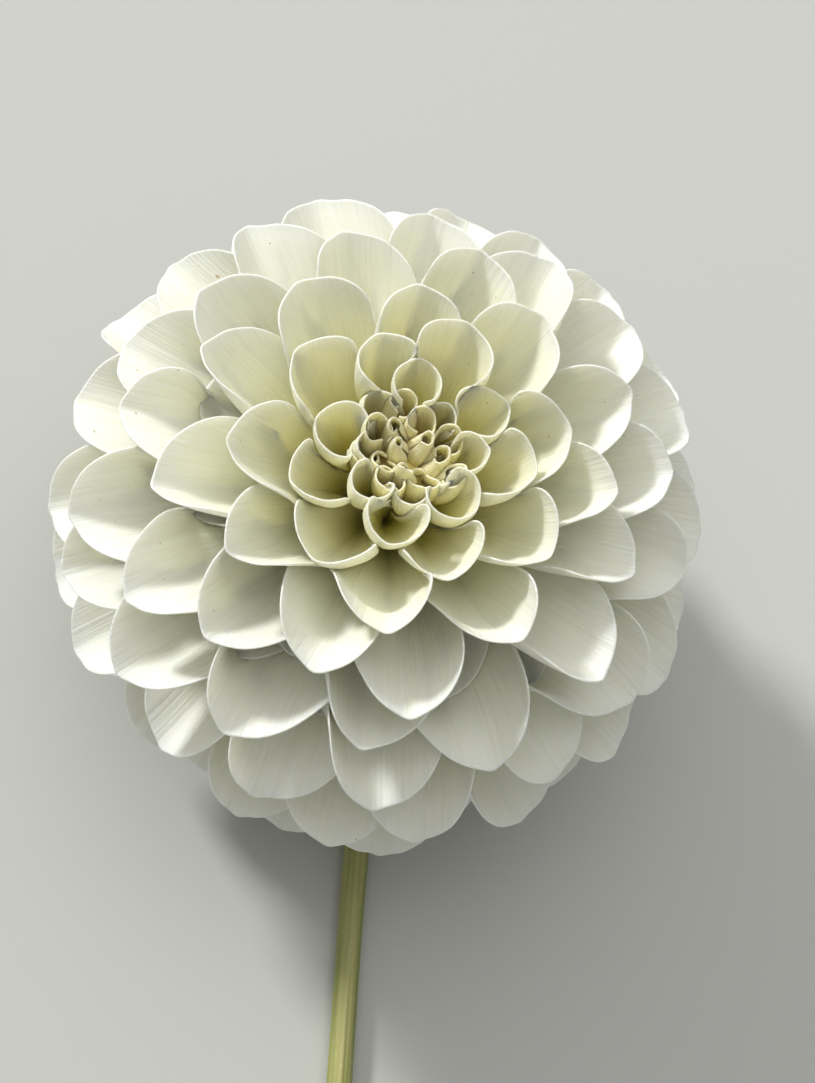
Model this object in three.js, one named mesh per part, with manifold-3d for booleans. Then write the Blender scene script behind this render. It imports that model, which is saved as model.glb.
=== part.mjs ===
// A ball-shaped dahlia, cut with a length of stem and laid on its back.
// Millimetres, +Z up. The face of the bloom looks up, its hindmost petals rest on the surface, and
// the stem leaves the back of the bloom, bends over and lies along -Y.
// The origin is on the surface, under the middle of the box round the whole flower.

import * as THREE from 'three';
import { mergeVertices } from 'three/addons/utils/BufferGeometryUtils.js';
import Module from 'manifold-3d';

const wasm = await Module();
wasm.setup();

// Driving dimensions ----------------------------------------------------------------------------

const BLOOM_AXIS_X = 0;
const BLOOM_AXIS_Y = 35;
const BLOOM_MIDDLE_Z = 32.5;       // the bloom's middle above the surface
const CORE_OUTLINE = [[8, -18], [24, -9], [30, 3], [18, 19]];  // radius and height about the middle
const CORE_SIDES = 9;
const ROOT_RADIUS = 16;          // where the petals' middle lines start

// How the petals change from the eye to the back. Each pair holds the polar angle of a petal's tip,
// in degrees from the bloom's axis as seen from its middle, and a value there.
const TIP_RADIUS = [[0, 33.5], [8, 35.5], [16, 39], [24, 42.5], [45, 47],
  [75, 49.5], [95, 49.5], [120, 47], [150, 41.5]];
const CELL_AREA = [[0, 5], [5, 9], [11, 20], [15, 48], [20, 72], [27, 98],
  [34, 128], [45, 146], [55, 168], [66, 196], [110, 200]];
const ROOT_LEAD = [[0, 1], [12, 3], [20, 7], [30, 12], [45, 20],
  [60, 24], [80, 26], [110, 22], [150, 8]];
const ROOT_TURN = [[0, 15], [12, 0], [20, -8], [30, -16], [45, -24],
  [60, -28], [80, -28], [110, -24], [150, -38]];
const TIP_TURN = [[0, -60], [12, -24], [20, -2], [30, 12], [45, 26],
  [60, 32], [80, 34], [110, 32], [150, 36]];
const CUP_ANGLE = [[0, 140], [18, 140], [24, 104], [30, 78], [45, 58], [65, 45], [90, 35], [120, 26]];
const BREADTH = [[0, 0.9], [12, 0.72], [16, 0.7], [20, 0.72], [27, 0.78],
  [34, 0.86], [45, 0.95], [60, 1.05], [90, 1.18], [150, 1.2]];
const TIP_ROUNDING = [[0, 0.4], [50, 0.38], [75, 0.27], [150, 0.22]];

const GOLDEN_ANGLE = 137.50776;  // degrees from each petal to the next, clockwise seen from above
const FIRST_AZIMUTH = 316;
const LAST_POLAR = 152;          // behind this angle the calyx begins
const SPIRAL_STEP = 0.05;        // degrees of polar angle between two counts of the petals

const PETAL_THICKNESS = 0.65;
const ROOT_ROW = 0.16;           // rows of points along a petal, as shares of its length
const LONG_ROWS = [ROOT_ROW, 0.6, 0.85, 1];
const SHORT_ROWS = [ROOT_ROW, 0.62, 1];
const PRESSED_ROWS = [ROOT_ROW, 0.62, 0.88, 1];
const ROOT_COLUMNS = [-0.5, 0.5];
const CUP_COLUMNS = [-1, -0.5, 0.5, 1];
const KEEL_COLUMNS = [-1, 0, 1];
const MIDDLE_POLAR = 50;         // petals outside this angle have the short rows
const BACK_POLAR = 52;           // outside this one, a keel instead of a cup's flat floor
const PRESSED_POLAR = 136;       // and outside this one, a row more to lie on the surface
const TIP_POWER = 1.9;           // how blunt the tips are
const ROOT_BREADTH = 0.15;       // breadth at the root as a share of the full breadth

const EYE_POLAR = 11;            // young florets stand inside this angle
const EYE_FLOOR = 12;            // above the bloom's middle
const EYE_TOP = 38;
const EYE_FLOOR_RADIUS = 3;
const EYE_TOP_RADIUS = 7.2;
const EYE_CORE_TOP = 28;
const FLORET_ROWS = [0.3, 1];
const GAP = 0.3;                 // between neighbouring sub-parts

const CALYX_RADIUS = 8.5;
const CALYX_TOP = -18.4;         // against the bloom's middle
const CALYX_BOTTOM = -21;
const BRACT_COUNT = 5;
const BRACT_LENGTH = 12;
const BRACT_BREADTH = 6.5;
const BRACT_THICKNESS = 0.8;
const BRACT_ROWS = [0, 0.45, 1];

const STEM_RADIUS = 2.1;
const STEM_SIDES = 10;
const STEM_REACH = 120;          // from the bloom's axis to the cut end
const NECK_LENGTH = 11;          // along the surface, from the calyx to where the stem lies
const STEM_DRIFT = 3.9;          // how far the lying stem has drifted to +X of the bloom's axis
const STEM_STEPS = 26;

const LEAST_HEIGHT = -0.3;       // of the middle of a pressed petal, before its underside is trimmed flat
const PRESSED_SPREAD = 0.8;      // how much of its lost height a pressed petal spreads outwards
const RAD = Math.PI / 180;

// Small tools -----------------------------------------------------------------------------------

function along(table, angle) {
  const last = table.length - 1;
  if (angle <= table[0][0]) {
    return table[0][1];
  }
  for (let i = 0; i < last; i += 1) {
    const [from, start] = table[i];
    const [to, end] = table[i + 1];
    if (angle <= to) {
      return start + ((end - start) * (angle - from)) / (to - from);
    }
  }
  return table[last][1];
}

function draw(petal, kind) {
  const wave = Math.sin(petal * 12.9898 + kind * 78.233) * 43758.5453;
  return 2 * (wave - Math.floor(wave)) - 1;
}

function solid(geometry) {
  const bare = geometry.clone();
  bare.deleteAttribute('normal');
  bare.deleteAttribute('uv');
  const merged = mergeVertices(bare, 1e-4);
  return new wasm.Manifold(new wasm.Mesh({
    numProp: 3,
    vertProperties: new Float32Array(merged.attributes.position.array),
    triVerts: new Uint32Array(merged.index.array),
  }));
}

function joined(solids) {
  let parts = solids;
  while (parts.length > 1) {
    const halves = [];
    for (let i = 0; i < parts.length; i += 2) {
      halves.push(i + 1 < parts.length ? parts[i].add(parts[i + 1]) : parts[i]);
    }
    parts = halves;
  }
  return parts[0];
}

function largest(shape) {
  const pieces = shape.decompose();
  return pieces.reduce((best, piece) => (piece.volume() > best.volume() ? piece : best));
}

function geometryOf(shape) {
  const mesh = shape.getMesh();
  const geometry = new THREE.BufferGeometry();
  geometry.setAttribute('position', new THREE.BufferAttribute(new Float32Array(mesh.vertProperties), 3));
  geometry.setIndex(new THREE.BufferAttribute(new Uint32Array(mesh.triVerts), 1));
  return geometry;
}

// The triangles between two neighbouring rows of a net, whose points needn't be equally many.
function strip(points, lower, upper) {
  const triangles = [];
  let i = 0;
  let j = 0;
  while (i < lower.length - 1 || j < upper.length - 1) {
    const nextLower = i < lower.length - 1 ? points[lower[i + 1]][0] : Infinity;
    const nextUpper = j < upper.length - 1 ? points[upper[j + 1]][0] : Infinity;
    if (nextLower <= nextUpper) {
      triangles.push([lower[i], lower[i + 1], upper[j]]);
      i += 1;
    } else {
      triangles.push([lower[i], upper[j + 1], upper[j]]);
      j += 1;
    }
  }
  return triangles;
}

// A petal's net of (across, along) points: two at the root, then rows of columns, and one at the tip.
function petalNet(rows, columns) {
  const points = [];
  const triangles = [];
  const addRow = (across, v) => across.map((u) => points.push([u, v]) - 1);
  let below = addRow(ROOT_COLUMNS, rows[0]);
  for (const v of rows.slice(1)) {
    const row = addRow(columns, v);
    triangles.push(...strip(points, below, row));
    below = row;
  }
  if (!columns.includes(0)) {
    const half = columns.length / 2;
    triangles.push([below[half - 1], below[half], points.push([0, 1]) - 1]);
  }
  return { points, triangles };
}

// A closed blade: the net on its middle surface, thickened to both sides along the normals.
function blade(surface, { points, triangles }, thickness) {
  const small = 0.01;
  const middles = points.map(([u, v]) => surface(u, v));
  const normals = points.map(([u, v]) => {
    const across = surface(u + small, v).sub(surface(u - small, v));
    const lengthwise = surface(u, Math.min(v + small, 1)).sub(surface(u, v - small));
    return across.cross(lengthwise).normalize();
  });
  const faces = [1, -1].flatMap((side) => (
    middles.map((middle, i) => middle.clone().addScaledVector(normals[i], (side * thickness) / 2))
  ));
  const under = points.length;
  const edges = new Set(triangles.flatMap(([a, b, c]) => [`${a},${b}`, `${b},${c}`, `${c},${a}`]));
  const indices = [];
  for (const [a, b, c] of triangles) {
    indices.push(a, b, c, under + c, under + b, under + a);
    for (const [from, to] of [[a, b], [b, c], [c, a]]) {
      if (!edges.has(`${to},${from}`)) {
        indices.push(to, from, under + from, to, under + from, under + to);
      }
    }
  }
  const geometry = new THREE.BufferGeometry().setFromPoints(faces);
  geometry.setIndex(indices);
  return geometry;
}

// Petals ----------------------------------------------------------------------------------------

// The petals' places: a golden-angle spiral whose pace gives each petal its cell of the bloom's surface.
function spiral() {
  const places = [];
  let count = 0;
  for (let polar = 0; polar < LAST_POLAR; polar += SPIRAL_STEP) {
    const radius = along(TIP_RADIUS, polar);
    const ring = 2 * Math.PI * radius * radius * Math.sin(polar * RAD);
    const next = count + (ring / along(CELL_AREA, polar)) * SPIRAL_STEP * RAD;
    if (Math.floor(next) > Math.floor(count)) {
      const number = Math.floor(next);
      places.push({ number, polar, azimuth: FIRST_AZIMUTH - number * GOLDEN_ANGLE });
    }
    count = next;
  }
  return places;
}

// The stem's line from the calyx over the neck's bend to the cut end, about the bloom's axis.
function stemCurve() {
  const top = BLOOM_MIDDLE_Z + CALYX_BOTTOM - 1.5 * GAP;
  const low = STEM_RADIUS;
  const drop = top - low;
  const points = [
    new THREE.Vector3(0, 0, top),
    new THREE.Vector3(0, -0.1, low + 0.78 * drop),
    new THREE.Vector3(0.3, -1.5, low + 0.42 * drop),
    new THREE.Vector3(1, -4.8, low + 0.12 * drop),
    new THREE.Vector3(2, -NECK_LENGTH, low),
    new THREE.Vector3(STEM_DRIFT, -2.4 * NECK_LENGTH, low),
    new THREE.Vector3(STEM_DRIFT, -0.5 * STEM_REACH, low),
    new THREE.Vector3(STEM_DRIFT, -STEM_REACH, low),
  ];
  return new THREE.CatmullRomCurve3(points, false, 'centripetal');
}

// The least height of a petal over a point of the surface: it lies on the surface or over the stem.
function leastHeight(x, y) {
  const beside = Math.abs(x - STEM_DRIFT / 2) - STEM_RADIUS - 2;
  const over = THREE.MathUtils.smoothstep(-beside, -5, 0) * THREE.MathUtils.smoothstep(-y, 4, 9);
  return LEAST_HEIGHT + over * (2 * STEM_RADIUS + GAP + PETAL_THICKNESS);
}

function petalSurface({ number, polar, azimuth }) {
  const tipPolar = polar * RAD;
  const rootPolar = (polar - along(ROOT_LEAD, polar)) * RAD;
  const tipRadius = along(TIP_RADIUS, polar) * (1 + 0.008 * draw(number, 1));
  const root = new THREE.Vector2(Math.sin(rootPolar), Math.cos(rootPolar)).multiplyScalar(ROOT_RADIUS);
  const tip = new THREE.Vector2(Math.sin(tipPolar), Math.cos(tipPolar)).multiplyScalar(tipRadius);
  const chord = tip.clone().sub(root);
  const heading = Math.atan2(chord.x, chord.y);
  const handle = (turn) => {
    const angle = heading + turn * RAD;
    return new THREE.Vector2(Math.sin(angle), Math.cos(angle)).multiplyScalar(0.36 * chord.length());
  };
  const spine = new THREE.CubicBezierCurve(
    root,
    root.clone().add(handle(along(ROOT_TURN, polar))),
    tip.clone().sub(handle(along(TIP_TURN, polar) + 5 * draw(number, 2))),
    tip,
  );
  const cup = along(CUP_ANGLE, polar) * RAD;
  const breadth = Math.sqrt(along(CELL_AREA, polar)) * along(BREADTH, polar) * (1 + 0.04 * draw(number, 3));
  const halfArc = (breadth / 2) * (cup > Math.PI / 2 ? cup : cup / Math.sin(cup));
  const facing = (azimuth + draw(number, 4)) * RAD;
  const rounding = along(TIP_ROUNDING, polar);
  const upright = new THREE.Vector3(0, 0, 1);

  return (u, v) => {
    const s = THREE.MathUtils.clamp(v * (1 - rounding * Math.abs(u) ** TIP_POWER), 0, 1);
    const arc = halfArc * (ROOT_BREADTH + (1 - ROOT_BREADTH) * THREE.MathUtils.smoothstep(v, 0, 0.95));
    const angle = u * cup;
    const lift = (arc / cup) * (1 - Math.cos(angle));
    const place = spine.getPoint(s);
    const tangent = spine.getTangent(s);
    const point = new THREE.Vector3(
      place.x - tangent.y * lift,
      (arc / cup) * Math.sin(angle),
      place.y + tangent.x * lift + BLOOM_MIDDLE_Z,
    );
    point.applyAxisAngle(upright, facing);
    const short = leastHeight(point.x, point.y) - point.z;
    if (short > 0) {
      const outward = new THREE.Vector3(point.x, point.y, 0).setLength(PRESSED_SPREAD * short);
      point.add(outward);
      point.z += short;
    }
    return point;
  };
}

function cone(lowRadius, highRadius, low, high) {
  const profile = [
    new THREE.Vector2(0, low),
    new THREE.Vector2(lowRadius, low),
    new THREE.Vector2(highRadius, high),
    new THREE.Vector2(0, high),
  ];
  const geometry = new THREE.LatheGeometry(profile, 12);
  geometry.rotateX(Math.PI / 2);
  geometry.translate(0, 0, BLOOM_MIDDLE_Z);
  return geometry;
}

function surfaceBlock() {
  const block = new THREE.BoxGeometry(300, 300, 20);
  block.translate(0, 0, -10);
  return solid(block);
}

function stemSolid(radius) {
  const outline = new THREE.Shape();
  for (let i = 0; i < STEM_SIDES; i += 1) {
    const angle = ((i + 0.5) / STEM_SIDES) * 2 * Math.PI;
    outline[i ? 'lineTo' : 'moveTo'](radius * Math.cos(angle), radius * Math.sin(angle));
  }
  outline.closePath();
  return solid(new THREE.ExtrudeGeometry(outline, { steps: STEM_STEPS, extrudePath: stemCurve() }));
}

function coreSolid() {
  const [low, high] = [CORE_OUTLINE[0][1], CORE_OUTLINE.at(-1)[1]];
  const profile = [[0, low], ...CORE_OUTLINE, [0, high + 3]].map(([r, z]) => new THREE.Vector2(r, z));
  const core = new THREE.LatheGeometry(profile, CORE_SIDES);
  core.rotateX(Math.PI / 2);
  core.translate(0, 0, BLOOM_MIDDLE_Z);
  return solid(core);
}

function netAt(polar) {
  const columns = polar < BACK_POLAR ? CUP_COLUMNS : KEEL_COLUMNS;
  if (polar < MIDDLE_POLAR) {
    return petalNet(LONG_ROWS, columns);
  }
  return petalNet(polar < PRESSED_POLAR ? SHORT_ROWS : PRESSED_ROWS, columns);
}

function petals(places) {
  const blades = places.filter((place) => place.polar >= EYE_POLAR).map((place) => {
    return solid(blade(petalSurface(place), netAt(place.polar), PETAL_THICKNESS));
  });
  const bloom = joined([coreSolid(), ...blades]);
  const room = solid(cone(EYE_FLOOR_RADIUS, EYE_TOP_RADIUS, EYE_FLOOR, EYE_TOP));
  const cleared = bloom.subtract(room).subtract(surfaceBlock()).subtract(stemSolid(STEM_RADIUS + GAP));
  return geometryOf(largest(cleared));
}

function eye(places) {
  const slope = (EYE_TOP_RADIUS - EYE_FLOOR_RADIUS) / (EYE_TOP - EYE_FLOOR);
  const radiusAt = (height) => EYE_FLOOR_RADIUS + slope * (height - EYE_FLOOR) - GAP;
  const coreFoot = radiusAt(EYE_FLOOR + GAP);
  const coreHead = radiusAt(EYE_CORE_TOP) - 1;
  const core = solid(cone(coreFoot, coreHead, EYE_FLOOR + GAP, EYE_CORE_TOP));
  const florets = places.filter((place) => place.polar < EYE_POLAR).map((place) => (
    solid(blade(petalSurface(place), petalNet(FLORET_ROWS, CUP_COLUMNS), PETAL_THICKNESS))
  ));
  const room = solid(cone(radiusAt(EYE_FLOOR + GAP), radiusAt(EYE_TOP), EYE_FLOOR + GAP, EYE_TOP));
  return geometryOf(largest(joined([core, ...florets]).intersect(room)));
}

// Calyx and stem --------------------------------------------------------------------------------

function bractSurface(index) {
  const facing = ((index + 0.25) / BRACT_COUNT) * 2 * Math.PI;
  const upright = new THREE.Vector3(0, 0, 1);
  return (u, v) => {
    const s = v * (1 - 0.35 * u * u);
    const point = new THREE.Vector3(
      4 + s * BRACT_LENGTH,
      (BRACT_BREADTH / 2) * u * (0.6 + 0.8 * v - 0.7 * v * v),
      BLOOM_MIDDLE_Z + CALYX_BOTTOM + 1.3 - 3 * s * s + 0.8 * u * u,
    );
    return point.applyAxisAngle(upright, facing);
  };
}

function calyx() {
  const profile = [
    new THREE.Vector2(0, CALYX_BOTTOM),
    new THREE.Vector2(STEM_RADIUS + 0.8, CALYX_BOTTOM),
    new THREE.Vector2(CALYX_RADIUS - 1.2, CALYX_BOTTOM + 1.2),
    new THREE.Vector2(CALYX_RADIUS, CALYX_TOP),
    new THREE.Vector2(0, CALYX_TOP),
  ];
  const disc = new THREE.LatheGeometry(profile, 20);
  disc.rotateX(Math.PI / 2);
  disc.translate(0, 0, BLOOM_MIDDLE_Z);
  const bracts = [];
  for (let i = 0; i < BRACT_COUNT; i += 1) {
    bracts.push(solid(blade(bractSurface(i), petalNet(BRACT_ROWS, KEEL_COLUMNS), BRACT_THICKNESS)));
  }
  return geometryOf(largest(joined([solid(disc), ...bracts])));
}

function stem() {
  return geometryOf(largest(stemSolid(STEM_RADIUS).subtract(surfaceBlock())));
}

// The flower ------------------------------------------------------------------------------------

function mesh(name, geometry, color, roughness) {
  const piece = new THREE.Mesh(geometry, new THREE.MeshStandardMaterial({ color, roughness, metalness: 0 }));
  piece.name = name;
  return piece;
}

const places = spiral();
const group = new THREE.Group();
group.add(mesh('petals', petals(places), 0xf3f1e4, 0.5));
group.add(mesh('eye_florets', eye(places), 0xe9dfae, 0.55));
group.add(mesh('calyx', calyx(), 0x7f9a4a, 0.6));
group.add(mesh('stem', stem(), 0x8f9a4e, 0.5));
group.position.set(BLOOM_AXIS_X, BLOOM_AXIS_Y, 0);

export default group;
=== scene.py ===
"""A white ball dahlia on its back: cupped petals in a golden-angle spiral, young florets, calyx and stem.

Lengths of the flower are in millimetres and angles in degrees until a mesh is made, which is in metres.
A place on the bloom is a polar angle from its axis and an azimuth round it. A petal's net has a number u
across it, from -1 to 1, and a number v along it, from 0 at the root to 1 at the tip.
"""
import math

import bpy
import numpy as np
from mathutils import Matrix, Vector
from mathutils.bvhtree import BVHTree
from numpy.polynomial.polynomial import polyval


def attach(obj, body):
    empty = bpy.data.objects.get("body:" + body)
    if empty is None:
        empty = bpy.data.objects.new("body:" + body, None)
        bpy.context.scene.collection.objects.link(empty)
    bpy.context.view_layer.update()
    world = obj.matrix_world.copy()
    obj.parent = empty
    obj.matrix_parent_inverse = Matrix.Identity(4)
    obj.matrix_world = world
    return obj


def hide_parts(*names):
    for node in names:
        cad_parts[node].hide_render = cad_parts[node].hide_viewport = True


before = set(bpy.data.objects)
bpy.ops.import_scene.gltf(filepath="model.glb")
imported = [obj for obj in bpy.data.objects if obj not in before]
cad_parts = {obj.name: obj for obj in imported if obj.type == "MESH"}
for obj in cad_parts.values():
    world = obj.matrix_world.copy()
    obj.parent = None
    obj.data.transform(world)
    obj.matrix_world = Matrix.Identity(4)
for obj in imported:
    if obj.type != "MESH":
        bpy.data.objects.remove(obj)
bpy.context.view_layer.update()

MM = 0.001
TINY = 1e-9
BLOOM_AXIS_Y = 35.0
BLOOM_MIDDLE_Z = 32.5

# The spiral of petals. Tables hold [polar angle of the petal's tip, value].
GOLDEN_ANGLE = 137.50776
FIRST_AZIMUTH = 316.0
LAST_POLAR = 152.0
SPIRAL_STEP = 0.05
# The area of the bloom that one petal has for itself.
CELL_AREA = [
    [0, 5], [5, 9], [11, 20], [15, 48], [20, 72], [27, 98], [34, 128], [45, 146], [55, 168], [66, 196],
    [110, 200],
]
RING_LIMITS = (11.6, 32, 50, 66, 82, 100, 122, 180)
EYE_POLAR = RING_LIMITS[0]

# Shorter petals between the bases of the long ones, on a second spiral half a step off the first.
SHORT_STEP = 0.5
SHORT_REACH = 0.77
SHORT_POLAR = (56, 138)
SHORT_RING_LIMITS = (0, 80, 104, 180)

# A petal's curve from root to tip: where it ends, how far its root is nearer the axis, and the angles by
# which it leaves its chord at the root and meets it at the tip. HANDLE is a share of the chord.
ROOT_RADIUS = 16.0
TIP_RADIUS = [
    [0, 33], [8, 35], [16, 37.4], [24, 39], [34, 41.4], [45, 44.6], [75, 47.4], [95, 47.4], [120, 45.6],
    [150, 41],
]
ROOT_LEAD = [[0, 1], [12, 3], [20, 7], [30, 12], [45, 20], [60, 24], [80, 26], [110, 22], [150, 8]]
ROOT_TURN = [[0, 15], [12, 0], [20, -8], [30, -16], [45, -24], [60, -28], [80, -28], [110, -24], [150, -38]]
TIP_TURN = [[0, -60], [12, -24], [20, -2], [30, 12], [45, 26], [60, 32], [80, 34], [110, 32], [150, 36]]
HANDLE = 0.36

# A petal's breadth, as a share of its cell's width, and the part of its length where it widens.
BREADTH = [
    [0, 0.72], [12, 0.68], [16, 0.66], [20, 0.72], [27, 0.85], [34, 0.97], [45, 1.08], [60, 1.17],
    [100, 1.26], [150, 1.3],
]
ROOT_BREADTH = 0.15
FLARE_START = [[12, 0.24], [27, 0.2], [45, 0.08], [150, 0.08]]
FLARE_END = [[12, 0.98], [27, 0.95], [45, 0.86], [150, 0.86]]

# Its cup: the angle from its middle to each margin, which is wider at the root than at the tip.
CUP_ANGLE = [
    [0, 176], [22, 176], [26, 164], [31, 138], [36, 118], [42, 102], [50, 92], [65, 78], [90, 62], [120, 48],
]
WIDEST_CUP = 176
WIDEST_OPENING = 177
CUP_AT_ROOT = 1.08
CUP_LOSS = 0.16
CUP_LOSS_ZONE = (0.45, 1.0)

# Its end: the share of its length by which the margins fall short. ROUNDNESS is how much of a round outline
# is mixed with a pointed one, and a small point stands out of the end's middle.
TIP_ROUNDING = [[0, 0.3], [12, 0.16], [20, 0.2], [26, 0.28], [34, 0.37], [45, 0.4], [75, 0.4], [150, 0.36]]
ROUNDNESS = 0.62
TIP_POWER = 1.7
POINT_LENGTH = 0.012
POINT_BREADTH = 0.12
POINT_ZONE = (0.8, 1)

# Its relief: a lip at the end, steeper rims, lengthwise lanes, wavy margins and a twist.
FULL_RELIEF_BREADTH = 10
TIP_HOOK = [[0, 0], [12, 8], [16, 18], [24, 29], [34, 45], [45, 56], [60, 49], [80, 35], [110, 18], [150, 0]]
LIP_START = 0.62
LIP_HEIGHT = 0.2
LIP_POWER = 2.3
LIP_MARGIN_LOSS = 0.35
RIM_RISE = [[0, 0], [24, 0], [36, 0.35], [50, 0.5], [80, 0.4], [120, 0.2], [150, 0]]
RIM_POWER = 5
RIM_ZONE = (0.35, 0.75)
WIDE_LANE_DEPTH = 0.23
WIDE_LANE_WAVES = 2.4
FINE_LANE_DEPTH = 0.05
FINE_LANE_WAVES = 7
LANE_ZONE = (0.12, 0.5)
WAVE_HEIGHT = 0.35
WAVE_POWER = 3
WAVE_PACE = 6.5
WAVE_LAG = 1.3
WAVE_ZONE = (0.3, 0.8)
TWIST = [[0, 3], [24, 4], [45, 15], [150, 15]]

# The inner petals keep out of the eye: [height over the bloom's middle, least distance from the axis].
EYE_GUARD = [[10, 2.5], [37, 6.8]]
EYE_GUARD_POLAR = 40
EYE_GUARD_SOFTNESS = 0.35

# The eye's young florets: rolled sheets at the same golden angle, the innermost ones a little lower.
FLORET_COUNT = 14
FLORET_SPREAD = 0.92
FLORET_PACKING = 0.58
FLORET_FOOT_RADIUS = 20.0
FLORET_FOOT_POLAR = 0.55
FLORET_RADIUS = 37.0
EYE_HOLLOW = 1.5
FLORET_BEND = [[0, 4], [6, 16], [12, 22]]
FLORET_SPACING = 10
FLORET_BREADTH = 0.95
OUTER_FLORET_BREADTH = 0.5
FLORET_ROLL = 0.97
FLORET_FOOT_GIRTH = 0.42
FLORET_SWELL_ZONE = (0.1, 0.72)
FLORET_MOUTH = [[0, 0.35], [4, 0.55], [8, 0.85], [12, 1.0]]
FLORET_MOUTH_ZONE = (0.72, 1.0)
FLORET_SLANT = [[0, 0.06], [6, 0.14], [12, 0.24]]
FLORET_SLANT_POWER = 1.15
FLORET_WIDTH = 1.08
FLORET_DEPTH = 0.92
FOLD_COUNT = 3
FOLD_DEPTH = 0.07
FOLD_ZONE = (0.45, 1.0)
ROLL_STEP = 0.06

# How much one petal or floret differs from the next: [the most either way, the draw that it takes].
VARIETY = {
    "reach": [0.016, 1],
    "tip_turn": [9, 2],
    "breadth": [0.05, 3],
    "facing": [4.5, 4],
    "cup": [0.12, 5],
    "point": [0.1, 6],
    "hook": [0.18, 7],
    "wide_lanes": [0.5, 8],
    "fine_lanes": [3, 9],
    "wave": [3, 10],
    "twist": [1, 11],
    "sway": [0.09, 12],
    "colour": [0.5, 20],
    "floret_reach": [0.9, 31],
    "floret_bend": [8, 32],
    "floret_breadth": [0.08, 33],
    "floret_mouth": [0.25, 34],
    "floret_folds": [2, 35],
    "floret_slant": [0.3, 37],
    "floret_width": [0.1, 38],
    "floret_turn": [40, 39],
}
SCATTER = (12.9898, 78.233, 43758.5453)

# Points across and along a petal, which lie closer together at its margins and its tip.
FINE = (41, 44)
COARSE = (21, 30)
SHORT_NET = (25, 30)
BRACT_NET = (21, 26)
MARGIN_CROWDING = 0.3
TIP_CROWDING = 1.35

# Petals further from the eye are pressed back behind those nearer to it, all but their roots. This sets in
# over the polar angles PRESS_POLAR.
PRESS_POLAR = (17, 27)
PRESS_ROUNDS = 5
PRESS_REACH = 8.0
PRESS_MARGIN = 2
NEIGHBOUR_COUNT = 90
LAYER_GAP = 0.85
LEAST_SLOPE = 0.25
LEAST_NEED = 0.05
ROOT_ZONE = (0.04, 0.16)

# What the petals lie over: the surface and the stem.
LEAST_HEIGHT = 0.05
SPREADING = 0.8
STEM_BERTH = 2
BERTH_SLOPE = 5
BERTH_START = (4, 9)

# Petals are thinner at their rims.
BODY_THICKNESS = 0.46
EDGE_THICKNESS = 0.24
EDGE_POWER = 6
EDGE_ZONE = (0.93, 1.0)

# The cores that the petals and the young florets are rooted in, from the lower end of the axis to the upper
# one, as [radius, height over the bloom's middle].
CORE_OUTLINE = [
    [0, -18], [8, -17.6], [10.5, -15], [14, -11], [16.5, -6], [17.5, 0], [16.5, 7], [13, 13], [8, 17],
    [0, 18],
]
CORE_SIDES = 48
EYE_CORE_OUTLINE = [[0, 13], [2.8, 13], [4.1, 20], [4.8, 25.6], [4.2, 28.8], [2.5, 30.1], [0, 30.6]]
EYE_CORE_SIDES = 40

# The stem: its neck drops from the calyx and bends over, then it lies on the surface. The route's points are
# [x, distance from the bloom's axis along -Y, share of the drop].
STEM_RADIUS = 2.1
STEM_REACH = 120.0
NECK_LENGTH = 11.0
STEM_DRIFT = 3.9
STEM_ROUTE = [
    [0, 0, 1], [0, 0.1, 0.78], [0.3, 1.5, 0.42], [1, 4.8, 0.12], [2, NECK_LENGTH, 0],
    [STEM_DRIFT, 2.4 * NECK_LENGTH, 0], [STEM_DRIFT, STEM_REACH / 2, 0], [STEM_DRIFT, STEM_REACH, 0],
]
STEM_STEPS = 10
STEM_SIDES = 72
GAP = 0.3
STEM_SEAT = 1.5 * GAP
STEM_LIFT = 0.02
STEM_HEAD = 0.4
GIRTH = 0.985
GIRTH_CHANGE = 0.02
GIRTH_PACE = 9
WIDE_RIDGES = (0.05, 9)
FINE_RIDGES = (0.03, 16)
RIDGE_ALLOWANCE = 0.08
RIDGE_SWAY = 1.5
RIDGE_SWAY_PACE = 30
# The cut end and the hollow in it: [share of the radius, depth].
CUT_RINGS = [[0.97, 0], [0.8, 0], [0.62, 0], [0.58, 1.0], [0.55, 2.5], [0.3, 4.0]]

# The calyx's disc, as [radius, height over its underside], and its bracts.
CALYX_BOTTOM = -21.0
CALYX_OUTLINE = [
    [0, 0], [1.6, 0.02], [STEM_RADIUS + 0.8, 0.08], [4.6, 0.35], [6.3, 0.8], [7.4, 1.25], [8.1, 1.7],
    [8.5, 2.2], [8.3, 2.5], [7.6, 2.58], [0, 2.6],
]
CALYX_SIDES = 60
GROOVE_COUNT = 20
GROOVE_DEPTH = 0.08
GROOVE_ZONE = (3, 6)
BRACT_COUNT = 5
BRACT_TURN = 0.25
BRACT_ROOT = 4
BRACT_LENGTH = 12.0
BRACT_BREADTH = 6.5
BRACT_OUTLINE = (0.6, 0.8, -0.7)
BRACT_ROUNDING = 0.35
BRACT_RISE = 1.3
BRACT_DROOP = 3
BRACT_CUP = 0.8
BRACT_THICKNESS = (0.8, 0.35)
RIB_COUNT = 3
RIB_HEIGHT = 0.1
RIB_ZONE = (0.1, 0.5)
BRACT_WAVE_HEIGHT = 0.25
BRACT_WAVE_PACE = 9
BRACT_WAVE_STEP = 2.4
BRACT_WAVE_LAG = 1.5

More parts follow.
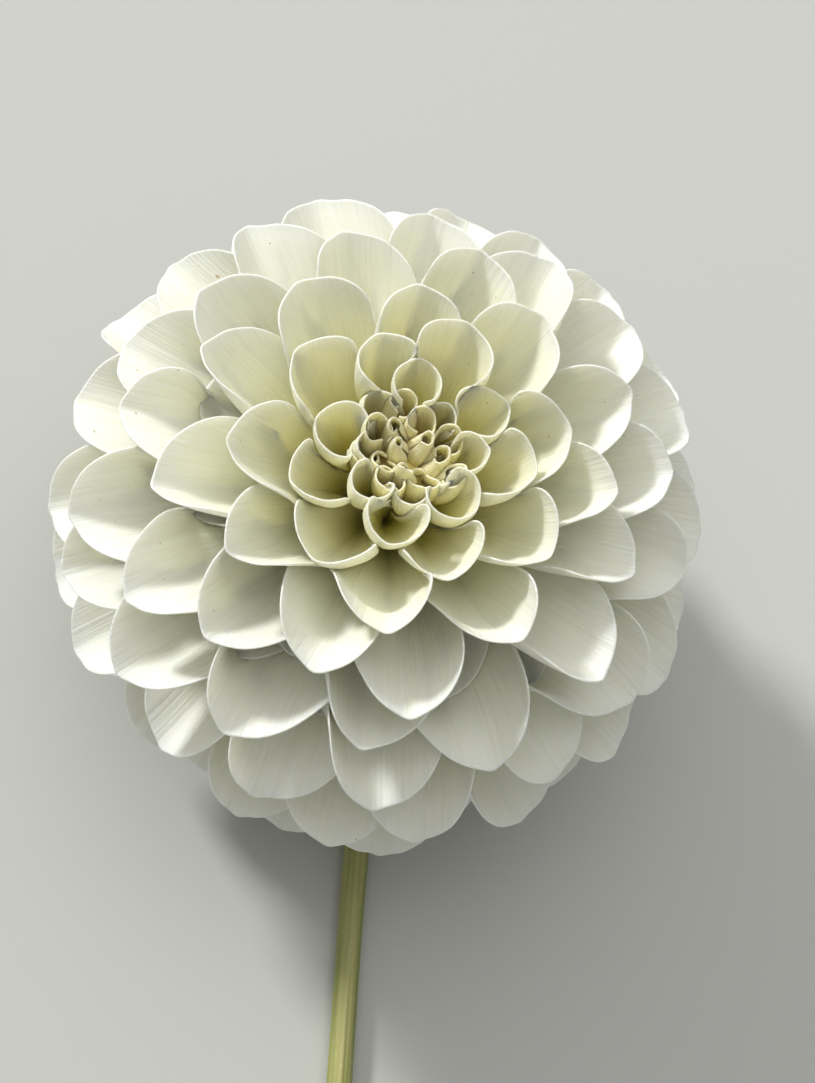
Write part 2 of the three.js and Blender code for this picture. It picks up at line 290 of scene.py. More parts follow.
# Colours and finishes. A noise is [scale, detail, roughness], a relief [strength, distance in metres], and a
# scattering [weight, radius by colour]. A glow is the scattering's scale in metres.
PETAL_LOOK = {"pale": (0.845, 0.853, 0.76), "deep": (0.80, 0.735, 0.25), "glow": 0.0014}
FLORET_LOOK = {"pale": (0.93, 0.89, 0.63), "deep": (0.87, 0.73, 0.30), "glow": 0.001}
ROOT_TINT = 0.27
YOUNG_ROOT_TINT = 0.86
YOUNG_TINT = 0.25
TINT_LENGTH = (1.05, 0.25)
YOUNG_POLAR = (60, 16)
VEIN_COLOUR = (0.62, 0.60, 0.42)
VEIN_STRENGTH = 0.15
VEIN_RANGE = (0.38, 0.7)
VEIN_NOISE = (1.0, 3.0, 0.65)
VEINS_ACROSS = 21.0
VEINS_ALONG = 1.6
VEINS_APART = 50.0
SPECK_COLOUR = (0.36, 0.25, 0.11)
SPECK_STRENGTH = 0.6
SPECK_NOISE = (900, 1.0, 0.5)
SPECK_RANGE = (0.75, 0.79)
SPECK_LENGTH = (0.7, 0.95)
SPECKED_PETALS = (0.55, 0.6)
PETAL_RELIEF = (0.7, 0.0004)
PETAL_ROUGHNESS = 0.52
PETAL_SCATTERING = (0.85, (1.0, 0.95, 0.75))
CORE_COLOUR = (0.80, 0.77, 0.56)
EYE_CORE_COLOUR = (0.90, 0.76, 0.30)
CORE_ROUGHNESS = 0.6
CALYX_LOOK = {
    "dark": (0.15, 0.24, 0.05), "light": (0.34, 0.42, 0.14), "mark_colour": (0.42, 0.46, 0.20),
    "stretch": (260, 260, 500), "roughness": 0.5,
}
STEM_LOOK = {
    "dark": (0.20, 0.23, 0.05), "light": (0.40, 0.38, 0.15), "mark_colour": (0.62, 0.66, 0.42),
    "stretch": (900, 25, 900), "roughness": 0.42,
}
STREAK_NOISE = (1.0, 4.0, 0.5)
STREAK_RANGE = (0.3, 0.7)
SPOT_NOISE = (1400, 2.0, 0.5)
SPOT_RANGE = (0.62, 0.75)
SPOT_STRENGTH = 0.3
SPOT_PALENESS = 0.3
MARK_RANGE = (0.55, 1.0)
GREEN_RELIEF = (0.4, 0.0002)
GREEN_SCATTERING = (0.15, (0.5, 1.0, 0.2))
GREEN_GLOW = 0.0015

# The floor and the light. Lights stand at [right, up, back] by the camera, in metres from the bloom's middle.
FLOOR_SIZE = 6
FLOOR_COLOUR = (0.50, 0.51, 0.49)
FLOOR_ROUGHNESS = 0.8
WORLD_COLOUR = (1, 1, 0.97)
WORLD_POWER = 0.33
KEY_PLACE = (-0.40, 0.66, 0.29)
KEY_POWER = 3.0
KEY_SPREAD = 9
KEY_COLOUR = (1, 0.99, 0.96)
SKY = {"place": (0.1, 0.8, 0.7), "size": 1.3, "power": 5.0, "colour": (1, 1, 0.97)}
FILL = {"place": (0.2, 0.25, 0.85), "size": 0.9, "power": 1.4, "colour": (1, 1, 0.96)}

# The camera looks down on the lying flower. The bloom's axis points this far right and up in the picture, as
# shares of its length, and +Y leans this far right for each part up.
AXIS_RIGHT = 0.14
AXIS_UP = 0.32
STEM_LEAN = 0.07
CAMERA_DISTANCE = 0.300
SENSOR = 36
FOCAL_PIXELS = 1930
FRAME_WIDTH = 815
FRAME_HEIGHT = 1083
MIDDLE_PIXEL = (376, 528)


# Numbers and curves.


def along(table, at):
    """A table's value between its rows."""
    places, values = zip(*table)
    return np.interp(at, places, values)


def draw(petal, kind):
    """A fixed number from -1 to 1 for each petal and each kind of difference."""
    wave = math.sin(petal * SCATTER[0] + kind * SCATTER[1]) * SCATTER[2]
    return 2 * (wave - math.floor(wave)) - 1


def vary(petal, difference):
    """One petal's difference from the others."""
    most, kind = VARIETY[difference]
    return most * draw(petal, kind)


def smooth(x, low, high):
    """A smooth step from 0 at low to 1 at high."""
    t = np.clip((x - low) / (high - low), 0, 1)
    return t * t * (3 - 2 * t)


def rotate(a, b, angle):
    """A point of a plane, turned about its zero."""
    turn = np.radians(angle)
    return a * np.cos(turn) - b * np.sin(turn), a * np.sin(turn) + b * np.cos(turn)


def direction(polar):
    """The way of a polar angle, as [outwards, up]."""
    angle = math.radians(polar)
    return np.array([math.sin(angle), math.cos(angle)])


def spine(root, tip, leave, arrive):
    """A cubic curve that leaves and meets its chord by two angles, and the chord's length."""
    chord = tip - root
    heading = math.degrees(math.atan2(chord[0], chord[1]))
    length = float(np.linalg.norm(chord))
    first = HANDLE * length * direction(heading + leave)
    last = HANDLE * length * direction(heading + arrive)
    return [root, root + first, tip - last, tip], length


def bezier(points, s):
    """Points and unit tangents of a cubic curve."""
    s = s[..., None]
    r = 1 - s
    at = r**3 * points[0] + 3 * r * r * s * points[1] + 3 * r * s * s * points[2] + s**3 * points[3]
    first, middle, last = (b - a for a, b in zip(points, points[1:]))
    way = 3 * r * r * first + 6 * r * s * middle + 3 * s * s * last
    return at, way / np.linalg.norm(way, axis=-1, keepdims=True)


def through(points, steps):
    """A smooth curve through points, paced between them by the square root of their distances."""
    points = np.array(points, float)
    points = np.concatenate([[2 * points[0] - points[1]], points, [2 * points[-1] - points[-2]]])
    curve = []
    for a, b, c, d in zip(points, points[1:], points[2:], points[3:]):
        paces = [math.sqrt(np.linalg.norm(end - start)) for start, end in ((a, b), (b, c), (c, d))]
        leave = ((b - a) / paces[0] - (c - a) / (paces[0] + paces[1]) + (c - b) / paces[1]) * paces[1]
        arrive = ((c - b) / paces[1] - (d - b) / (paces[1] + paces[2]) + (d - c) / paces[2]) * paces[1]
        for t in np.linspace(0, 1, steps, endpoint=False):
            bend = (2 * t**3 - 3 * t**2 + 1) * b + (t**3 - 2 * t**2 + t) * leave
            curve.append(bend + (3 * t**2 - 2 * t**3) * c + (t**3 - t**2) * arrive)
    return np.array(curve + [points[-2]])


def net(shape):
    """The numbers across and along a petal of its net's points."""
    across = np.linspace(-1, 1, shape[0])
    across = across * (1 + MARGIN_CROWDING - MARGIN_CROWDING * across**2)
    length = 1 - (1 - np.linspace(0, 1, shape[1])) ** TIP_CROWDING
    return np.meshgrid(across, length)


def net_faces(shape):
    """The four-cornered faces of a net."""
    across, length = shape
    index = np.arange(across * length).reshape(length, across)
    return np.stack([index[:-1, :-1], index[:-1, 1:], index[1:, 1:], index[1:, :-1]], -1).reshape(-1, 4)


def blurred(field):
    """A field over a petal's net, blurred."""
    wide = np.pad(field, 1, mode="edge")
    rows = (wide[:-2] + 2 * wide[1:-1] + wide[2:]) / 4
    return (rows[:, :-2] + 2 * rows[:, 1:-1] + rows[:, 2:]) / 4


def finer(field, shape):
    """A coarse net's field, read at a finer net's points."""
    coarse_u = np.linspace(0, 1, field.shape[1])
    coarse_v = np.linspace(0, 1, field.shape[0])
    fine_u = np.linspace(0, 1, shape[0])
    fine_v = np.linspace(0, 1, shape[1])
    rows = np.array([np.interp(fine_u, coarse_u, row) for row in field])
    return blurred(np.array([np.interp(fine_v, coarse_v, column) for column in rows.T]).T)


# The petals' and florets' middle surfaces, about the bloom's axis.


def spiral(offset=0.0, reach=1.0):
    """The petals' places: number, polar angle, azimuth, and reach as a share of the full one."""
    found = []
    count = 0.0
    for step in range(int(LAST_POLAR / SPIRAL_STEP)):
        polar = step * SPIRAL_STEP
        radius = along(TIP_RADIUS, polar)
        ring = 2 * math.pi * radius * radius * math.sin(math.radians(polar))
        following = count + ring / along(CELL_AREA, polar) * math.radians(SPIRAL_STEP)
        if math.floor(following - offset) > math.floor(count - offset):
            number = math.floor(following - offset) + offset
            found.append((number, polar, FIRST_AZIMUTH - number * GOLDEN_ANGLE, reach))
        count = following
    return found


def petal_curve(place):
    """A petal's curve from root to tip and its chord's length."""
    number, polar, _, reach = place
    root = ROOT_RADIUS * direction(polar - along(ROOT_LEAD, polar))
    tip = along(TIP_RADIUS, polar) * reach * (1 + vary(number, "reach")) * direction(polar)
    return spine(root, tip, along(ROOT_TURN, polar), along(TIP_TURN, polar) + vary(number, "tip_turn"))


def petal_end(number, polar, u, v):
    """How far along the curve a petal's points lie: its end is blunt, with a small point."""
    lean = vary(number, "point")
    from_point = np.abs(u - lean) / (1 + np.abs(lean))
    blunt = ROUNDNESS * (1 - np.sqrt(np.clip(1 - u * u, 0, 1))) + (1 - ROUNDNESS) * from_point**TIP_POWER
    point = POINT_LENGTH * np.exp(-((u - lean) / POINT_BREADTH) ** 2) * smooth(v, *POINT_ZONE)
    return v * (1 - along(TIP_ROUNDING, polar) * blunt) + point


def petal_cup(number, polar, breadth, u, v):
    """How far beside and in front of the curve a petal's points lie, as a plain cup."""
    cup = math.radians(min(along(CUP_ANGLE, polar) * (1 + vary(number, "cup")), WIDEST_CUP))
    half_arc = breadth / 2 * (cup if cup > math.pi / 2 else cup / math.sin(cup))
    flare = smooth(v, along(FLARE_START, polar), along(FLARE_END, polar))
    arc = half_arc * (ROOT_BREADTH + (1 - ROOT_BREADTH) * flare)
    opened = cup * (CUP_AT_ROOT - CUP_LOSS * smooth(v, *CUP_LOSS_ZONE))
    opened = np.minimum(opened, math.radians(WIDEST_OPENING))
    return arc / opened * np.sin(u * opened), arc / opened * (1 - np.cos(u * opened))


def petal_relief(number, polar, length, breadth, u, v):
    """How far in front of the plain cup a petal's points lie."""
    size = min(1.0, breadth / FULL_RELIEF_BREADTH)
    # The lip: the far end turns up towards the face, as a spoon's does.
    hook = math.radians(along(TIP_HOOK, polar) * (1 + vary(number, "hook")))
    lip = np.clip((v - LIP_START) / (1 - LIP_START), 0, 1)
    relief = LIP_HEIGHT * length * hook * lip**LIP_POWER * (1 - LIP_MARGIN_LOSS * u * u)
    # The rim: both margins turn up more steeply than the rest.
    relief = relief + along(RIM_RISE, polar) * np.abs(u) ** RIM_POWER * smooth(v, *RIM_ZONE) * size
    # Lengthwise lanes and a slight wave of the margins.
    lanes = WIDE_LANE_DEPTH * np.cos(u * math.pi * WIDE_LANE_WAVES + vary(number, "wide_lanes"))
    lanes = lanes + FINE_LANE_DEPTH * np.cos(u * math.pi * FINE_LANE_WAVES + vary(number, "fine_lanes"))
    relief = relief - lanes * smooth(v, *LANE_ZONE) * size
    wave = np.sin(WAVE_PACE * v + vary(number, "wave") + WAVE_LAG * np.sign(u))
    return relief + WAVE_HEIGHT * np.abs(u) ** WAVE_POWER * wave * smooth(v, *WAVE_ZONE) * size


def stand(curve, s, side, rise, facing):
    """Points beside and in front of a curve, turned to an azimuth, and the curve's way at each."""
    at, way = bezier(curve, s)
    x, y = rotate(at[..., 0] - way[..., 1] * rise, side, facing)
    return x, y, at[..., 1] + way[..., 0] * rise + BLOOM_MIDDLE_Z, way


def clear_of_eye(x, y, high):
    """Points that would lie in the eye, moved out to its margin."""
    radius = np.hypot(x, y) + TINY
    least = along(EYE_GUARD, high - BLOOM_MIDDLE_Z)
    over = np.log1p(np.exp((radius - least) / EYE_GUARD_SOFTNESS)) * EYE_GUARD_SOFTNESS
    return x * (least + over) / radius, y * (least + over) / radius


def petal_surface(place, shape, depth=0.0):
    """One petal's points and their ways towards the face. depth moves the points back, away from the face."""
    number, polar, azimuth, _ = place
    u, v = net(shape)
    curve, length = petal_curve(place)
    breadth = math.sqrt(along(CELL_AREA, polar)) * along(BREADTH, polar) * (1 + vary(number, "breadth"))
    side, rise = petal_cup(number, polar, breadth, u, v)
    rise = rise + petal_relief(number, polar, length, breadth, u, v)
    side, rise = rotate(side, rise, along(TWIST, polar) * vary(number, "twist") * v)
    side = side + breadth * vary(number, "sway") * v * v
    facing = azimuth + vary(number, "facing")
    x, y, high, way = stand(curve, petal_end(number, polar, u, v), side, rise - depth, facing)
    if polar < EYE_GUARD_POLAR:
        x, y = clear_of_eye(x, y, high)
    up_x, up_y = rotate(-way[..., 1], 0, facing)
    return np.stack([x, y, high], -1), np.stack([up_x, up_y, way[..., 0]], -1)


def floret_surface(place, shape):
    """One young floret's points: a sheet rolled into a tube, with a slanting, crumpled mouth."""
    number, polar, azimuth = place
    u, v = net(shape)
    outward = polar / EYE_POLAR
    foot = FLORET_FOOT_RADIUS * direction(FLORET_FOOT_POLAR * polar)
    height = FLORET_RADIUS + vary(number, "floret_reach") - EYE_HOLLOW * (1 - outward)
    bend = along(FLORET_BEND, polar) + vary(number, "floret_bend")
    curve, _ = spine(foot, height * direction(polar), bend / 2, -bend)

    breadth = math.sqrt(FLORET_SPACING) * (FLORET_BREADTH + OUTER_FLORET_BREADTH * outward)
    breadth = breadth * (1 + vary(number, "floret_breadth"))
    mouth = along(FLORET_MOUTH, polar) * (1 + vary(number, "floret_mouth"))
    around = u * math.pi * FLORET_ROLL
    girth = FLORET_FOOT_GIRTH + (1 - FLORET_FOOT_GIRTH) * smooth(v, *FLORET_SWELL_ZONE)
    girth = girth - (1 - mouth) * smooth(v, *FLORET_MOUTH_ZONE)
    folds = FOLD_DEPTH * np.cos(FOLD_COUNT * around + vary(number, "floret_folds"))
    radius = breadth / 2 * girth * (1 + folds * smooth(v, *FOLD_ZONE) - ROLL_STEP * u)
    side = radius * np.sin(around) * (FLORET_WIDTH + vary(number, "floret_width"))
    rise = radius * (1 - FLORET_DEPTH * np.cos(around)) - breadth / 2
    side, rise = rotate(side, rise, vary(number, "floret_turn"))
    slant = along(FLORET_SLANT, polar) * (1 + vary(number, "floret_slant"))
    s = v * (1 - slant * (np.abs(around) / math.pi) ** FLORET_SLANT_POWER)
    return np.stack(stand(curve, s, side, rise, azimuth)[:3], -1)


# How the petals lie on each other and on what is below them.


def depth_needed(points, ups, near):
    """How much further back each of a petal's points has to lie, to be behind the petals near it."""
    need = np.zeros(points.shape[:2])
    for tree, low, high in near:
        inside = ((points > low - PRESS_MARGIN) & (points < high + PRESS_MARGIN)).all(-1)
        for row, column in np.argwhere(inside):
            point = Vector(points[row, column])
            up = Vector(ups[row, column])
            _, normal, _, below = tree.ray_cast(point, -up, PRESS_REACH)
            if normal is not None and abs(normal.dot(up)) > LEAST_SLOPE:
                need[row, column] = max(need[row, column], below + LAYER_GAP)
                continue
            _, normal, _, above = tree.ray_cast(point, up, LAYER_GAP)
            if normal is not None:
                need[row, column] = max(need[row, column], LAYER_GAP - above)
    return need


def press_back(places, shape):
    """How far each petal's points lie back, so that the petals nearer the eye pass in front of them."""
    faces = net_faces(shape).tolist()
    free = smooth(np.linspace(0, 1, shape[1]), *ROOT_ZONE)[:, None]
    placed = []
    depths = []
    for place in places:
        depth = np.zeros((shape[1], shape[0]))
        share = smooth(place[1], *PRESS_POLAR)
        points, ups = petal_surface(place, shape, depth)
        low, high = points.min((0, 1)), points.max((0, 1))
        near = [one for one in placed[-NEIGHBOUR_COUNT:] if (one[1] < high).all() and (one[2] > low).all()]
        for _ in range(PRESS_ROUNDS if share > 0 else 0):
            need = depth_needed(points, ups, near)
            if need.max() < LEAST_NEED:
                break
            depth = np.maximum(depth, blurred(depth + need * free * share))
            points, ups = petal_surface(place, shape, depth)
        depths.append(depth)
        tree = BVHTree.FromPolygons([Vector(point) for point in points.reshape(-1, 3)], faces)
        placed.append((tree, points.min((0, 1)), points.max((0, 1))))
    return depths


def least_height(x, y):
    """The height that petals keep: the surface's, or over the lying stem."""
    beside = np.abs(x - STEM_DRIFT / 2) - STEM_RADIUS - STEM_BERTH
    over = smooth(-beside, -BERTH_SLOPE, 0) * smooth(-y, *BERTH_START)
    return LEAST_HEIGHT + over * (2 * STEM_RADIUS + GAP + BODY_THICKNESS)


def settle(points):
    """Petal points that would lie too low, moved up and outwards."""
    x, y, z = points[..., 0], points[..., 1], points[..., 2]
    short = np.clip(least_height(x, y) + BODY_THICKNESS / 2 - z, 0, None)
    stretch = 1 + SPREADING * short / (np.hypot(x, y) + TINY)
    return np.stack([x * stretch, y * stretch, z + short], -1)


# Meshes: their points and faces.


def blade(points, shape, body=BODY_THICKNESS, edge=EDGE_THICKNESS):
    """Both faces and the rim of one petal or bract, about its middle surface."""
    u, v = net(shape)
    normal = np.cross(np.gradient(points, axis=1), np.gradient(points, axis=0))
    normal = normal / (np.linalg.norm(normal, axis=-1, keepdims=True) + TINY)
    rim = np.maximum(np.abs(u) ** EDGE_POWER, smooth(v, *EDGE_ZONE))
    half = (body + (edge - body) * rim)[..., None] / 2
    front = (points + normal * half).reshape(-1, 3)
    back = (points - normal * half).reshape(-1, 3)
    faces = net_faces(shape)
    count = len(front)
    index = np.arange(count).reshape(shape[1], shape[0])
    loop = np.concatenate([index[0, :-1], index[:-1, -1], index[-1, :0:-1], index[:0:-1, 0]])
    following = np.roll(loop, -1)
    rim_faces = np.stack([loop, loop + count, following + count, following], -1)
    return np.concatenate([front, back]), np.concatenate([faces, faces[:, ::-1] + count, rim_faces])


def lathe(outline, base, sides):
    """A solid of revolution about the bloom's axis. base is its outline's zero, over the bloom's middle."""
    turn = np.linspace(0, 2 * math.pi, sides, endpoint=False)
    outline = np.array(outline) + [0, BLOOM_MIDDLE_Z + base]
    rings = outline[1:-1]
    points = np.stack([rings[:, :1] * np.cos(turn), rings[:, :1] * np.sin(turn), rings[:, 1:] + 0 * turn], -1)
    ends = np.array([[0, 0, outline[0][1]], [0, 0, outline[-1][1]]])
    index = np.arange(len(rings) * sides).reshape(len(rings), sides)
    turned = np.roll(index, -1, axis=1)
    faces = np.stack([index[:-1], turned[:-1], turned[1:], index[1:]], -1).reshape(-1, 4).tolist()
    for here, there in zip(range(sides), turned[0].tolist()):
        faces.append([index.size, there, here])
        faces.append([index.size + 1, index[-1, here], turned[-1, here]])
    return np.concatenate([points.reshape(-1, 3), ends]), faces


def make_mesh(name, points, faces, material, numbers=None):
    """A smooth-shaded object, with numbers at its points for the material to read."""
    mesh = bpy.data.meshes.new(name)
    placed = (points + np.array([0, BLOOM_AXIS_Y, 0])) * MM
    mesh.vertices.add(len(placed))
    mesh.vertices.foreach_set("co", placed.astype(np.float32).ravel())
    sizes = np.array([len(face) for face in faces])
    mesh.loops.add(int(sizes.sum()))
    mesh.polygons.add(len(faces))
    corners = np.concatenate([np.asarray(face) for face in faces])
    starts = np.concatenate([[0], np.cumsum(sizes)[:-1]])
    mesh.loops.foreach_set("vertex_index", corners.astype(np.int32))
    mesh.polygons.foreach_set("loop_start", starts.astype(np.int32))
    mesh.polygons.foreach_set("use_smooth", np.ones(len(faces), bool))
    mesh.update(calc_edges=True)
    mesh.validate()
    for key, values in (numbers or {}).items():
        attribute = mesh.attributes.new(key, "FLOAT", "POINT")
        attribute.data.foreach_set("value", np.asarray(values, np.float32).ravel())
    mesh.materials.append(material)
    made = bpy.data.objects.new(name, mesh)
    bpy.context.scene.collection.objects.link(made)
    return made


def petal_piece(name, places, surfaces, material, shape):
    """One mesh of several petals, with numbers along and across each petal for its colours."""
    u, v = net(shape)
    count = 2 * u.size
    blades = [blade(surface, shape) for surface in surfaces]
    points = np.concatenate([body for body, _ in blades])
    faces = np.concatenate([body_faces + count * petal for petal, (_, body_faces) in enumerate(blades)])
    numbers = {
        "length": np.tile(v.ravel(), 2 * len(places)),
        "side": np.tile(u.ravel(), 2 * len(places)),
        "polar": np.repeat([place[1] for place in places], count),
        "seed": np.repeat([0.5 + vary(place[0], "colour") for place in places], count),
    }
    return make_mesh(name, points, faces, material, numbers)


# Materials.


class Nodes:
    """Short forms for building a material's nodes."""

    def __init__(self, name):
        self.material = bpy.data.materials.new(name)
        self.material.use_nodes = True
        self.tree = self.material.node_tree
        self.shader = self.tree.nodes["Principled BSDF"]

    def node(self, kind, **values):
        made = self.tree.nodes.new(kind)
        for key, value in values.items():
            setattr(made, key, value)
        return made

    def link(self, a, b):
        self.tree.links.new(a, b)

    def number(self, name):
        return self.node("ShaderNodeAttribute", attribute_name=name).outputs["Fac"]

    def place(self):
        return self.node("ShaderNodeTexCoord").outputs["Object"]

    def feed(self, socket, value):
        if hasattr(value, "is_linked"):
            self.link(value, socket)
        else:
            socket.default_value = value

    def times(self, a, b, plus=0.0, clamp=False):
        made = self.node("ShaderNodeMath", operation="MULTIPLY_ADD", use_clamp=clamp)
        self.feed(made.inputs[0], a)
        self.feed(made.inputs[1], b)
        self.feed(made.inputs[2], plus)
        return made.outputs[0]

    def ramp(self, value, span, most=1.0):
        """From 0 at the span's first number to the most at its second."""
        made = self.node("ShaderNodeMapRange", interpolation_type="SMOOTHSTEP")
        self.feed(made.inputs["Value"], value)
        made.inputs["From Min"].default_value = span[0]
        made.inputs["From Max"].default_value = span[1]
        made.inputs["To Max"].default_value = most
        return made.outputs[0]

    def mix(self, factor, a, b):
        made = self.node("ShaderNodeMix", data_type="RGBA")
        self.feed(made.inputs["Factor"], factor)
        self.feed(made.inputs["A"], a)
        self.feed(made.inputs["B"], b)
        return made.outputs["Result"]

    def noise(self, place, scale, detail, roughness):
        made = self.node("ShaderNodeTexNoise")
        made.inputs["Scale"].default_value = scale
        made.inputs["Detail"].default_value = detail
        made.inputs["Roughness"].default_value = roughness
        self.link(place, made.inputs["Vector"])
        return made.outputs["Fac"]

    def relief(self, height, strength, distance):
        bump = self.node("ShaderNodeBump")
        bump.inputs["Strength"].default_value = strength
        bump.inputs["Distance"].default_value = distance
        self.link(height, bump.inputs["Height"])
        self.link(bump.outputs[0], self.shader.inputs["Normal"])

    def scattering(self, weight, radius, scale):
        self.shader.inputs["Subsurface Weight"].default_value = weight
        self.shader.inputs["Subsurface Radius"].default_value = radius
        self.shader.inputs["Subsurface Scale"].default_value = scale


def opaque(colour):
    """A colour with full alpha."""
    return (*colour, 1)


def petal_material(name, pale, deep, glow):
    """Creamy white, yellower towards the petals' roots and in the young ones, with fine lengthwise lines."""
    n = Nodes(name)
    length = n.number("length")
    side = n.number("side")
    polar = n.number("polar")
    seed = n.number("seed")
    base = n.ramp(length, TINT_LENGTH)
    young = n.ramp(polar, YOUNG_POLAR)
    share = n.times(young, YOUNG_ROOT_TINT, plus=ROOT_TINT)
    amount = n.times(base, share, plus=n.times(young, YOUNG_TINT), clamp=True)
    colour = n.mix(amount, opaque(pale), opaque(deep))

    # Fine parallel lines: noise that runs fast across a petal and slowly along it.
    streak = n.node("ShaderNodeCombineXYZ")
    n.link(n.times(side, VEINS_ACROSS), streak.inputs[0])
    n.link(n.times(length, VEINS_ALONG), streak.inputs[1])
    n.link(n.times(seed, VEINS_APART), streak.inputs[2])
    veins = n.noise(streak.outputs[0], *VEIN_NOISE)
    colour = n.mix(n.ramp(veins, VEIN_RANGE, VEIN_STRENGTH), colour, opaque(VEIN_COLOUR))

    # A few brown specks near the tips of some petals.
    specks = n.ramp(n.noise(n.place(), *SPECK_NOISE), SPECK_RANGE)
    marked = n.times(specks, n.ramp(length, SPECK_LENGTH))
    marked = n.times(marked, n.ramp(seed, SPECKED_PETALS, SPECK_STRENGTH))
    n.link(n.mix(marked, colour, opaque(SPECK_COLOUR)), n.shader.inputs["Base Color"])
    n.relief(veins, *PETAL_RELIEF)
    n.shader.inputs["Roughness"].default_value = PETAL_ROUGHNESS
    n.scattering(*PETAL_SCATTERING, glow)
    return n.material


def green_material(name, mark, dark, light, mark_colour, stretch, roughness):
    """Plant green with soft streaks and small pale spots, and another colour where the mark number is 1."""
    n = Nodes(name)
    place = n.place()
    stretched = n.node("ShaderNodeMapping")
    stretched.inputs["Scale"].default_value = stretch
    n.link(place, stretched.inputs["Vector"])
    streaks = n.noise(stretched.outputs[0], *STREAK_NOISE)
    colour = n.mix(n.ramp(streaks, STREAK_RANGE), opaque(dark), opaque(light))
    spots = n.ramp(n.noise(place, *SPOT_NOISE), SPOT_RANGE, SPOT_STRENGTH)
    pale = [(1 - SPOT_PALENESS) * value + SPOT_PALENESS for value in light]
    colour = n.mix(spots, colour, opaque(pale))
    colour = n.mix(n.ramp(n.number(mark), MARK_RANGE), colour, opaque(mark_colour))
    n.link(colour, n.shader.inputs["Base Color"])
    n.relief(streaks, *GREEN_RELIEF)
    n.shader.inputs["Roughness"].default_value = roughness
    n.scattering(*GREEN_SCATTERING, GREEN_GLOW)
    return n.material


def plain_material(name, colour, roughness):
    n = Nodes(name)
    n.shader.inputs["Base Color"].default_value = opaque(colour)
    n.shader.inputs["Roughness"].default_value = roughness
    return n.material


# The pieces.


def make_petals(material):
    """The long petals and the shorter ones between their bases, in a piece for each ring."""
    long_places = [place for place in spiral() if place[1] >= EYE_POLAR]
    short_places = [
        place for place in spiral(SHORT_STEP, SHORT_REACH) if SHORT_POLAR[0] <= place[1] < SHORT_POLAR[1]
    ]
    places = sorted(long_places + short_places, key=lambda place: place[1])
    depths = press_back(places, COARSE)

    def ring(name, reach, low, high, shape):
        chosen = [i for i, place in enumerate(places) if low <= place[1] < high and place[3] == reach]
        surfaces = [settle(petal_surface(places[i], shape, finer(depths[i], shape))[0]) for i in chosen]
        piece = petal_piece(name, [places[i] for i in chosen], surfaces, material, shape)
        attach(piece, "root")
        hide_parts("petals")

    for letter, low, high in zip("abcdefg", RING_LIMITS, RING_LIMITS[1:]):
        ring("fine_petals_" + letter, 1.0, low, high, FINE)
    for letter, low, high in zip("abc", SHORT_RING_LIMITS, SHORT_RING_LIMITS[1:]):
        ring("fine_short_petals_" + letter, SHORT_REACH, low, high, SHORT_NET)


def make_florets(material):
    """The young florets of the eye."""
    florets = []
    for number in range(1, FLORET_COUNT + 1):
        polar = EYE_POLAR * ((number - 0.5) / FLORET_COUNT) ** FLORET_PACKING * FLORET_SPREAD
        florets.append((number, polar, FIRST_AZIMUTH - number * GOLDEN_ANGLE))
    surfaces = [floret_surface(place, FINE) for place in florets]
    piece = petal_piece("fine_eye_florets", florets, surfaces, material, FINE)
    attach(piece, "root")
    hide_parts("eye_florets")


def make_cores():
    """What the petals and the young florets are rooted in."""
    points, faces = lathe(CORE_OUTLINE, 0, CORE_SIDES)
    core = make_mesh("fine_core", points, faces, plain_material("core", CORE_COLOUR, CORE_ROUGHNESS))
    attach(core, "root")
    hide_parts("petals")
    points, faces = lathe(EYE_CORE_OUTLINE, 0, EYE_CORE_SIDES)
    eye_material = plain_material("eye_core", EYE_CORE_COLOUR, CORE_ROUGHNESS)
    eye_core = make_mesh("fine_eye_core", points, faces, eye_material)
    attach(eye_core, "root")
    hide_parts("eye_florets")


def bract_surface(bract, shape):
    """The middle surface of one bract of the calyx, with three lengthwise ribs and a wavy margin."""
    u, v = net(shape)
    s = v * (1 - BRACT_ROUNDING * u * u)
    side = BRACT_BREADTH / 2 * u * polyval(v, BRACT_OUTLINE)
    ribs = RIB_HEIGHT * np.cos(RIB_COUNT * math.pi * u) * smooth(v, *RIB_ZONE) * (1 - v)
    wave = np.sin(BRACT_WAVE_PACE * v + BRACT_WAVE_STEP * bract + BRACT_WAVE_LAG * np.sign(u))
    rise = BRACT_RISE - BRACT_DROOP * s * s + BRACT_CUP * u * u + ribs + BRACT_WAVE_HEIGHT * u * u * wave
    x, y = rotate(BRACT_ROOT + BRACT_LENGTH * s, side, (bract + BRACT_TURN) / BRACT_COUNT * 360)
    return np.stack([x, y, BLOOM_MIDDLE_Z + CALYX_BOTTOM + rise], -1)


def make_calyx(material):
    """The green disc behind the bloom, grooved below, and its ring of fleshy bracts."""
    points, faces = lathe(CALYX_OUTLINE, CALYX_BOTTOM, CALYX_SIDES)
    turn = np.arctan2(points[:, 1], points[:, 0])
    radius = np.hypot(points[:, 0], points[:, 1])
    points[:, 2] += GROOVE_DEPTH * np.cos(GROOVE_COUNT * turn) * smooth(radius, *GROOVE_ZONE)
    parts = [points]
    edges = [np.zeros(len(points))]
    count = len(points)
    u, _ = net(BRACT_NET)
    for bract in range(BRACT_COUNT):
        body, body_faces = blade(bract_surface(bract, BRACT_NET), BRACT_NET, *BRACT_THICKNESS)
        parts.append(body)
        edges.append(np.tile(np.abs(u).ravel(), 2))
        faces += (body_faces + count).tolist()
        count += len(body)
    calyx = make_mesh("fine_calyx", np.concatenate(parts), faces, material, {"edge": np.concatenate(edges)})
    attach(calyx, "root")
    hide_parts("calyx")


